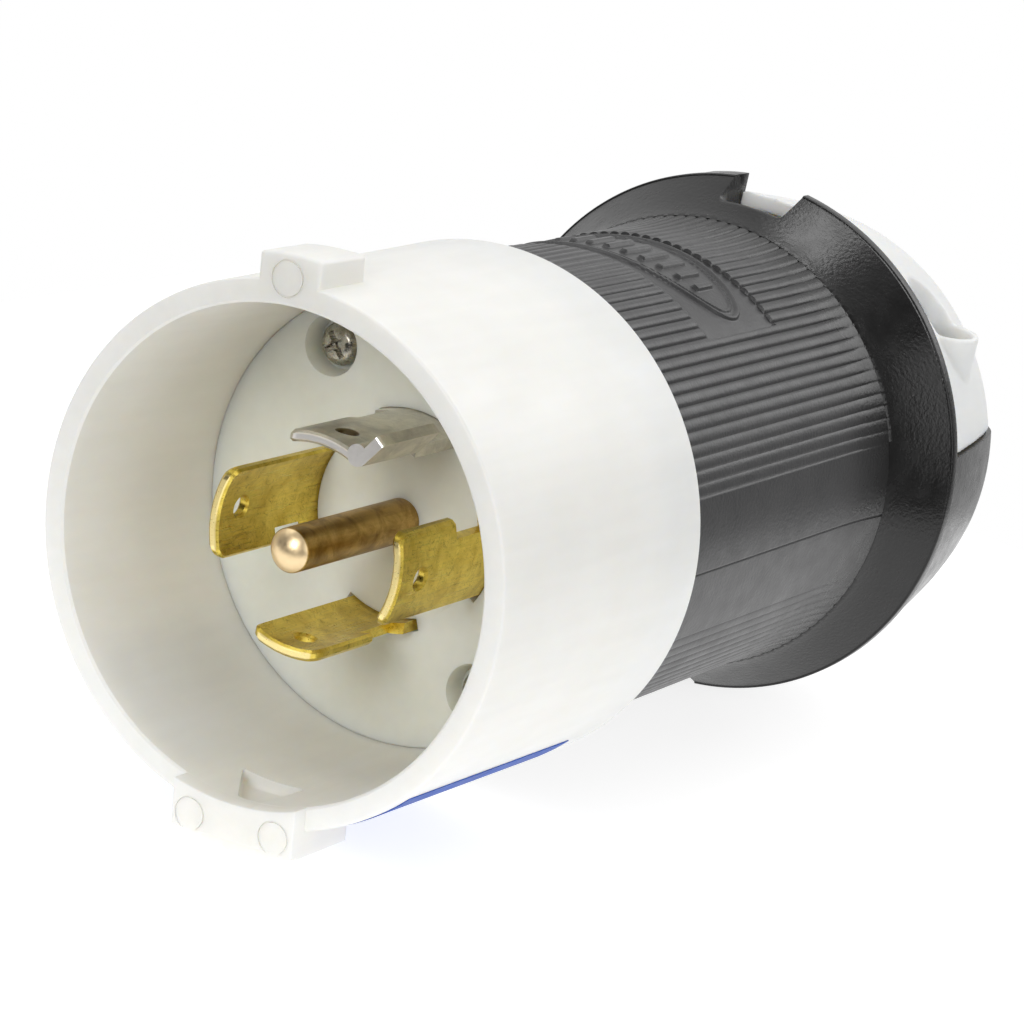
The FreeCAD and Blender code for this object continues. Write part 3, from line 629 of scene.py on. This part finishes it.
POCKET_PLAN = [(-6.4, -22.6), (-1.5, -30.4), (2.3, -30.4), (3.6, -22.6)]
POCKET_LOW, POCKET_HIGH = -33.2, -25.0
POCKET_ANGLE = 7.3


def arc(centre, radius, start, stop, count):
    """Points of an arc in a (radius, y) outline; angles in degrees from +r towards +y."""
    points = []
    for i in range(count):
        angle = math.radians(start + (stop - start) * i / (count - 1))
        points.append((centre[0] + radius * math.cos(angle), centre[1] + radius * math.sin(angle)))
    return points


def lug_outline(width, inner, outer, count=17):
    """A lug's section square to the axis, standing on +X: two arcs with parallel sides."""
    points = []
    for radius, sign in ((inner, 1), (outer, -1)):
        half = math.asin(width / 2 / radius)
        for i in range(count):
            angle = sign * (half - 2 * half * i / (count - 1))
            points.append((radius * math.cos(angle), radius * math.sin(angle)))
    return points


def ring_mark(radius, place, face):
    """A shallow round groove, such as an ejector pin leaves, cut from the face at y = face."""
    floor = face + MARK_DEPTH
    outer = prism("mark_outer", circle(radius, 48, place), face - 0.5, floor)
    inner = prism("mark_inner", circle(radius - MARK_LINE, 48, place), face - 0.6, floor + 0.1)
    return combine(outer, [inner], "DIFFERENCE")


def make_small_lug():
    lug = prism("small_lug", lug_outline(SMALL_LUG_WIDTH, 33.2, LUG_OUTER), RIM, LUG_BACK)
    return turn(bevelled(lug, 0.55, 3), SMALL_LUG_ANGLE)


def make_key_lug():
    """The wide lug, which stands ahead of the rim, with a ledge along its outer edge."""
    lug = prism("key_lug", lug_outline(KEY_LUG_WIDTH, 32.0, LUG_OUTER), KEY_FRONT, LUG_BACK)
    outline = box_outline(3, 30, (LEDGE_FROM + 1.5, 0))
    ledge = prism("ledge", outline, KEY_FRONT - 1, KEY_FRONT + LEDGE_DEPTH)
    lug = bevelled(combine(lug, [ledge], "DIFFERENCE"), 0.3, 3)
    marks = [ring_mark(2.3, place, KEY_FRONT) for place in KEY_LUG_MARKS]
    return turn(combine(lug, marks, "DIFFERENCE"), KEY_LUG_ANGLE)


def make_shroud():
    """The white tube: its shell and lugs, less the marks, the pocket and the screws' ways."""
    outline = [(32.3, RIM), (RIM_EDGE, RIM)]
    outline += arc((RIM_EDGE, RIM + RIM_ROUND), RIM_ROUND, -90, 0, 5)[1:]
    outline += SHROUD_OUTSIDE
    outline += arc((SHROUD_EDGE, SHROUD_END - SHROUD_ROUND), SHROUD_ROUND, 0, 90, 5)
    outline += SHROUD_SHELF + SHROUD_INSIDE
    shell = lathe("shroud", outline, 360)
    shell = combine(shell, [make_small_lug(), make_key_lug()], "UNION")

    rim_mark = turn(ring_mark(2.4, SMALL_LUG_MARK, RIM), SMALL_LUG_ANGLE)
    pocket = bevelled(prism("pocket", POCKET_PLAN, POCKET_LOW, POCKET_HIGH, "z"), 0.6, 4)
    turn(pocket, POCKET_ANGLE)
    shell = combine(shell, [pocket, rim_mark], "DIFFERENCE")
    ways = [turn(shift(prism("way", circle(2.3), 4, 10), x=SCREW_CIRCLE), a) for a in SCREW_ANGLES]
    shell = combine(shell, ways, "DIFFERENCE")
    finish_piece(shell, "plug", "shroud_nylon", "shroud", 32.0)


# ------------------------------------------------------------------ housing
BASE = 32.86
BARREL_FRONT = 9.3
ROOT = 78.5
# The barrel widens by this much from where the flare starts to the flange's root.
FLARE, FLARE_FROM = 0.7, 66.0

# The ribs' height at the top and the sides, and the share of it lost at the flange.
RIB, RIB_SIDE, RIB_REAR = 0.50, 0.10, 0.7
PITCH = 360.0 / 118
RIB_WIDTH = 0.95
FADE_FROM = 63.0

SIDE_HALF = 18.0
SIDE_DEPTH = 0.03
MOULD_LINE, MOULD_DEPTH = 0.14, 0.10
PANEL_HALF = 36.0
PANEL_FRONT, PANEL_BACK = 39.0, 58.4
PANEL_DEPTH = 0.12
EDGE_BLEND = 0.25
NOSE = 0.9
BEAD_ROUND, BEAD_RUN = 0.10, 1.2

BADGE_MIDDLE = 49.3
BADGE_HALF_WIDE, BADGE_HALF_HIGH = 18.0, 7.6
BADGE_RING, BADGE_INNER, BADGE_BARS = 0.42, 0.25, 0.55
BAR_PITCH, BAR_TALL, BAR_SHRINK = 2.9, 3.9, 0.09


def from_top(angle):
    """The angle from the top, from -180 to 180."""
    return (angle - 90.0 + 180.0) % 360.0 - 180.0


def clipped(value):
    return min(1.0, max(0.0, value))


def rib_profile(angle, y):
    """The ribs' height and their grooves' floor.

    The grooves are deep at the top and shallow at the sides and towards the flange.
    """
    across = np.abs(((angle / PITCH) % 1.0) - 0.5) * 2.0
    late = clipped((y - FADE_FROM) / (ROOT - FADE_FROM))
    depth = RIB_SIDE + (RIB - RIB_SIDE) * np.sin(np.radians(angle)) ** 2
    depth = depth * (1.0 - RIB_REAR * late**2)
    ridge = np.clip(1.0 - (across / RIB_WIDTH) ** 2.2, 0.0, 1.0) ** 0.6
    return depth * ridge, RIB - depth


def barrel_radius(angle, y):
    """The barrel's outside, with its ribs, smooth side panels and recessed top panel."""
    off_side = np.abs((angle + 90.0) % 180.0 - 90.0)
    side = np.clip((SIDE_HALF - off_side) / EDGE_BLEND + 0.5, 0.0, 1.0)
    off_top = from_top(angle)
    inside = np.clip((PANEL_HALF - np.abs(off_top)) / EDGE_BLEND + 0.5, 0.0, 1.0)
    height, groove = rib_profile(angle, y)
    # The front ribs end in round noses on the panel; the rear ribs end in blunt faces.
    nose = math.sqrt(max(0.0, 1.0 - max(0.0, (y - (PANEL_FRONT - NOSE)) / NOSE) ** 2))
    blunt = clipped((y - PANEL_BACK) / BEAD_ROUND)
    fill = clipped((y - PANEL_BACK) / BEAD_RUN)
    sunk = PANEL_DEPTH * clipped((y - PANEL_FRONT) / (PANEL_BACK - PANEL_FRONT))
    solid = np.clip(height / RIB * 2.0, 0.0, 1.0) * blunt
    panel = groove + height * max(nose, blunt) - sunk * (1.0 - np.maximum(solid, fill))
    panel = panel + badge(off_top, y)
    relief = (groove + height) * (1.0 - inside) + panel * inside
    relief = relief * (1.0 - side) + (RIB - SIDE_DEPTH) * side
    relief = relief - MOULD_DEPTH * np.exp(-((off_side / MOULD_LINE) ** 2)) * side
    flare = FLARE * max(0.0, (y - FLARE_FROM) / (ROOT - FLARE_FROM)) ** 2
    return BASE + relief + flare


def badge(angle, y):
    """A plain raised oval on the top panel with a row of plain bars in it."""
    across = np.radians(angle) * BASE
    along = y - BADGE_MIDDLE
    wide, high = BADGE_HALF_WIDE, BADGE_HALF_HIGH
    # The distance from the oval is its level over the level's slope.
    level = np.sqrt((across / wide) ** 2 + (along / high) ** 2)
    slope = np.sqrt((across / wide**2) ** 2 + (along / high**2) ** 2) / np.maximum(level, 1e-6)
    distance = (level - 1.0) / np.maximum(slope, 1e-3)
    ring = np.exp(-((distance / 0.36) ** 4))
    inner = np.exp(-(((distance + 1.3) / 0.22) ** 4))
    bars = np.zeros_like(ring)
    for place in range(-4, 5):
        tall = BAR_TALL - BAR_SHRINK * place * place
        inside = clipped((tall - abs(along)) / 0.3)
        bars = np.maximum(bars, inside * np.exp(-(((across - BAR_PITCH * place) / 0.6) ** 6)))
    return BADGE_RING * ring + BADGE_INNER * inner + BADGE_BARS * bars


FLANGE_EDGE, FLANGE_FRONT, FLANGE_BACK = 39.7, 88.2, 90.2
FLANGE_HOLLOW = 0.86
NOTCH_MIDDLE, NOTCH_HALF = 90.9, 8.4
NOTCH_FLOOR = 36.3
NOTCH_CORNER = 0.7
NOTCH_START, NOTCH_SLOPE = 83.6, 0.44
# The rows' places along the barrel, closest where the panel's ends and the badge are.
FRONT_STEPS = [BARREL_FRONT, 17.0, 24.0, 31.0, 36.0]
NOSE_STEPS = [38.0, 38.2, 38.4, 38.6, 38.75, 38.85, 38.95, 39.0]
BEAD_STEPS = [0, 0.03, 0.06, 0.1, 0.3, 0.6, 0.9, 1.2]
# The barrel's bore and its rear face, as (radius, y).
HOUSING_INSIDE = [
    (33.0, FLANGE_BACK),
    (16.0, FLANGE_BACK),
    (16.0, 86.2),
    (26.5, 86.2),
    (29.5, 82.2),
    (29.5, BARREL_FRONT),
]


def notched(radius, angle, y):
    """The flange's two notches, at the top and the bottom: the floor falls away rearwards."""
    off = np.abs((angle - NOTCH_MIDDLE + 90.0) % 180.0 - 90.0)
    level = NOTCH_FLOOR - NOTCH_SLOPE * max(0.0, y - NOTCH_START)
    inset = np.radians(NOTCH_HALF - off) * NOTCH_FLOOR
    corner = np.clip(1.0 - inset / NOTCH_CORNER, 0.0, 1.0)
    floor = level + NOTCH_CORNER * (1.0 - np.sqrt(np.clip(1.0 - corner**2, 0.0, 1.0)))
    limit = np.where(off < NOTCH_HALF, floor, 99.0)
    return np.minimum(radius, limit)


def flange_outline():
    """The flange's hollow front and its rounded edge, as (radius, y)."""
    front_round, back_round = 0.35, 0.3
    root_radius = BASE + RIB + FLARE + 0.1
    root = ROOT + 0.08
    outline = []
    for i in range(1, 25):
        part = i / 24
        radius = root_radius + (FLANGE_EDGE - front_round - root_radius) * part
        outline.append((radius, root + (FLANGE_FRONT - root) * (part**FLANGE_HOLLOW)))
    corner = (FLANGE_EDGE - front_round, FLANGE_FRONT + front_round)
    outline += arc(corner, front_round, -60, 0, 4)
    corner = (FLANGE_EDGE - back_round, FLANGE_BACK - back_round)
    return outline + arc(corner, back_round, 0, 90, 4)


def make_barrel():
    """The barrel and flange: rings of points whose radius varies with the angle."""
    columns = 1416
    angle = 360.0 * np.arange(columns) / columns
    steps = FRONT_STEPS + NOSE_STEPS
    steps += list(np.arange(39.2, 58.3, 0.2))
    steps += [PANEL_BACK + run for run in BEAD_STEPS]
    steps += list(np.linspace(64.0, ROOT, 18))
    rows = [(barrel_radius(angle, y), y) for y in steps]
    plain = np.ones(columns)
    rows.append((plain * (BASE + RIB + FLARE + 0.03), ROOT + 0.03))
    for radius, y in flange_outline():
        rows.append((notched(plain * radius, angle, y), y))
    for radius, y in HOUSING_INSIDE:
        rows.append((plain * radius, y))
    points = []
    cosine, sine = np.cos(np.radians(angle)), np.sin(np.radians(angle))
    for radius, y in rows:
        points += list(zip(radius * cosine, np.full(columns, y), radius * sine))
    return new_object("housing", points, grid(len(rows), columns, True, True))


DOME_FRONT = 39.0
DOME_SIDE = [(39.0, 90.2), (38.2, 96.0), (37.3, 102.0)]
DOME_SHOULDER, DOME_CORNER = (36.2, 108.0), (33.6, 119.0)
DOME_ROUND = 9.0
REAR_END = 119.0
DOME_MOUTH = 13.0


def dome_side(inset):
    """The rounded rear's outside, or its inside at a wall's depth, as (radius, y) points."""
    shoulder = Vector((DOME_SHOULDER[0] - inset, DOME_SHOULDER[1]))
    end = REAR_END - inset
    radius = DOME_ROUND - inset
    along = (Vector((DOME_CORNER[0] - inset, end)) - shoulder).normalized()
    inward = Vector((-along.y, along.x))
    level = end - radius
    centre = shoulder.x + (radius - (level - shoulder.y) * inward.y) / inward.x
    start = math.degrees(math.atan2(-inward.y, -inward.x))
    side = [(place - inset, y) for place, y in DOME_SIDE] + [tuple(shoulder)]
    return side + arc((centre, level), radius, start, 90, 14)


def dome_shell(name, wall, front):
    """The rounded rear as a shell open at its front and at the cord's mouth."""
    outside = [(DOME_FRONT, front)] + dome_side(0.0)[1:] + [(DOME_MOUTH, REAR_END)]
    inside = [(DOME_FRONT - wall, front)] + dome_side(wall)[1:] + [(DOME_MOUTH, REAR_END - wall)]
    return lathe(name, outside + inside[::-1], 240)


def dome_solid(name, inset, front):
    """The space inside the dome's outside, less an inset."""
    outline = [(DOME_FRONT - inset, front)] + dome_side(inset)[1:]
    return boss(name, outline, front, REAR_END - inset, 160)


def half_space(name, low, high):
    """A large block between two heights, for cutting a piece at a parting."""
    return prism(name, box_outline(120, 60, (0, 104)), low, high, "z")


CLAMP_SIDES, CLAMP_PLACE = (-26.5, 26.5), 102.0
CORD_RADIUS = 10.0
STOP_SIDE = -9.4
PARTING = 8.0
BASE_FRONT, BASE_WALL = 89.9, 3.0
JAW_FRONT, JAW_WALL = 90.6, 2.6
LIMIT_INSET = 1.0
POST_RADIUS, POST_LENGTH = 6.4, 16.0
CRADLE, CRADLE_RUN = box_outline(30, 40, (0, -20.8)), (94, 110)
TONGUE, TONGUE_RUN = box_outline(29, 34.2, (0, 17.9)), (95, 109)
STOP, STOP_RUN = box_outline(6, 5.4, (STOP_SIDE, 36.7)), (89.8, 92.9)
REBATE, REBATE_RUN = box_outline(7.4, 14, (STOP_SIDE, 35)), (90.0, 93.5)
CLAMP_THREAD, CLAMP_HOLE, CLAMP_SEAT = 2.2, 2.3, 4.7
CLAMP_NUT, ASSEMBLY_NUT = 8.9, 7.1
BOSS_RADIUS, BOSS_WAY = 5.3, 2.2


def upright(name, radius, x, low, high):
    """A round rod on one of the clamp screws' lines."""
    return prism(name, circle(radius, 40, (x, CLAMP_PLACE)), low, high, "z")


def hexagon(across_flats, centre):
    return circle(across_flats / math.sqrt(3), 6, centre)


def cord_channel():
    return prism("channel", circle(CORD_RADIUS, 72), 80.0, 125.0)


def make_base():
    """The fixed lower half of the cord clamp, behind the flange."""
    shell = dome_shell("clamp_base", BASE_WALL, BASE_FRONT)
    blocks = [prism("cradle", CRADLE, *CRADLE_RUN)]
    for side in CLAMP_SIDES:
        blocks.append(upright("post", POST_RADIUS, side, PARTING - POST_LENGTH, PARTING))
        web = box_outline(14, 4, (side + math.copysign(7, side), CLAMP_PLACE))
        blocks.append(prism("web", web, PARTING - POST_LENGTH, PARTING, "z"))
    inner = dome_solid("limit", LIMIT_INSET, BASE_FRONT)
    solid = combine(blocks[0], blocks[1:], "UNION")
    solid = combine(solid, [inner], "INTERSECT")
    shell = combine(shell, [solid], "UNION")
    cutters = [half_space("above", PARTING, 60), cord_channel()]
    for side in CLAMP_SIDES:
        cutters.append(upright("thread", CLAMP_THREAD, side, -19, 20))
        seat = hexagon(CLAMP_NUT, (side, CLAMP_PLACE))
        cutters.append(prism("seat", seat, PARTING - 17, PARTING - 12.3, "z"))
    return combine(shell, cutters, "DIFFERENCE")


def make_screw_boss(angle):
    """A boss for one assembly screw, with its nut's seat at the rear."""
    front, back = 9.2, 27.2
    post = prism("boss", circle(BOSS_RADIUS, 40), front, back)
    web = prism("boss_web", box_outline(6, 5, (3.2, 0)), front, back)
    post = combine(post, [web], "UNION")
    way = prism("boss_way", circle(BOSS_WAY, 32), front - 0.2, back + 0.8)
    seat = prism("boss_seat", hexagon(ASSEMBLY_NUT, (0, 0)), back - 3.0, back + 0.8)
    post = combine(post, [way, seat], "DIFFERENCE")
    return turn(shift(post, x=SCREW_CIRCLE), angle)


def make_stop():
    """The block behind the flange that the clamp's jaw closes against."""
    stop = prism("stop", STOP, *STOP_RUN)
    limit = prism("stop_limit", circle(FLANGE_EDGE, 360), 88, 94)
    return bevelled(combine(stop, [limit], "INTERSECT"), 0.3, 2)


def make_housing():
    barrel = make_barrel()
    base = make_base()
    bosses = [make_screw_boss(angle) for angle in SCREW_ANGLES]
    stop = make_stop()
    smooth(base, 30)
    join([barrel, base, stop] + bosses)
    finish_piece(barrel, "plug", "housing_nylon", "housing", 38.0)


def join(objects):
    """Puts several meshes into the first object."""
    with bpy.context.temp_override(active_object=objects[0], selected_editable_objects=objects):
        bpy.ops.object.join()


# ------------------------------------------------------------------ cord clamp's jaw
JAW_LOW = PARTING + 0.3
JAW_DROP = -1.8
JAW_BOSS_RADIUS, JAW_BOSS_LENGTH = 5.7, 15.4


def make_scoop(side):
    """The cone that opens a screw's seat upwards."""
    count = 40
    rings = [(4.6, JAW_LOW + 14.6), (9.6, JAW_LOW + 30.6)]
    points = [(side + u, CLAMP_PLACE + v, z) for r, z in rings for u, v in circle(r, count)]
    faces = [tuple(range(count)), tuple(range(2 * count - 1, count - 1, -1))]
    for i in range(count):
        after = (i + 1) % count
        faces.append((i, after, count + after, count + i))
    return new_object("scoop", points, faces)


def make_jaw():
    """The clamp's loose upper half: the dome's top with a tongue, bosses and screw seats."""
    shell = dome_shell("cord_clamp_jaw", JAW_WALL, JAW_FRONT)
    shift(shell, z=JAW_DROP)
    shell = combine(shell, [half_space("below", -60, JAW_LOW)], "DIFFERENCE")
    tongue = prism("tongue", TONGUE, *TONGUE_RUN)
    limit = shift(dome_solid("limit", LIMIT_INSET, JAW_FRONT), z=JAW_DROP)
    pieces = [combine(tongue, [limit], "INTERSECT")]
    for side in CLAMP_SIDES:
        high = JAW_LOW + JAW_BOSS_LENGTH
        pieces.append(upright("boss", JAW_BOSS_RADIUS, side, JAW_LOW, high))
    shell = combine(shell, pieces, "UNION")
    cutters = [cord_channel()]
    for side in CLAMP_SIDES:
        cutters.append(upright("hole", CLAMP_HOLE, side, 0, 30))
        cutters.append(upright("pocket", CLAMP_SEAT, side, JAW_LOW + 7.7, 60))
        cutters.append(make_scoop(side))
    cutters.append(prism("rebate", REBATE, *REBATE_RUN))
    shell = combine(shell, cutters, "DIFFERENCE")
    moulded(shell, 0.3, 6)
    finish_piece(shell, "clamp_jaw", "jaw_nylon", "cord_clamp_jaw", 60.0)


# ------------------------------------------------------------------ build
def paint_cad_nodes():
    """Gives each node that comes over from the frame its slot's material."""
    slots = {s["node"]: s["material_slot"] for s in frame["record"]["subparts"]}
    for node, obj in frame["nodes"].items():
        obj.data.materials.clear()
        obj.data.materials.append(MATERIALS[slots[node]])


FLOOR_SIDE, FLOOR_MIDDLE = 352.0, 42.0
FLOOR_GLOW = 0.82


def make_floor():
    """A pale plate under the plug; past its edges the white background goes on."""
    low = CAD_BOX[0].z / MM
    outline = box_outline(FLOOR_SIDE, FLOOR_SIDE, (0.0, FLOOR_MIDDLE))
    floor = new_object("floor", [(x, y, low) for x, y in outline], [(0, 1, 2, 3)])
    s = Shader("floor")
    grey = s.ramp(s.noise(60.0), [(0.3, (0.38, 0.38, 0.38)), (0.7, (0.40, 0.40, 0.40))])
    s.link(grey, s.bsdf.inputs["Base Color"])
    # A white table lit from below keeps the shadows faint.
    s.set(Roughness=0.7, Emission_Color=(1.0, 1.0, 1.0, 1.0), Emission_Strength=FLOOR_GLOW)
    floor.data.materials.append(s.material)


make_camera()
make_world()
make_lamps()
make_floor()
paint_cad_nodes()
make_shroud()
make_housing()
make_jaw()
bpy.context.scene.view_settings.view_transform = "Standard"
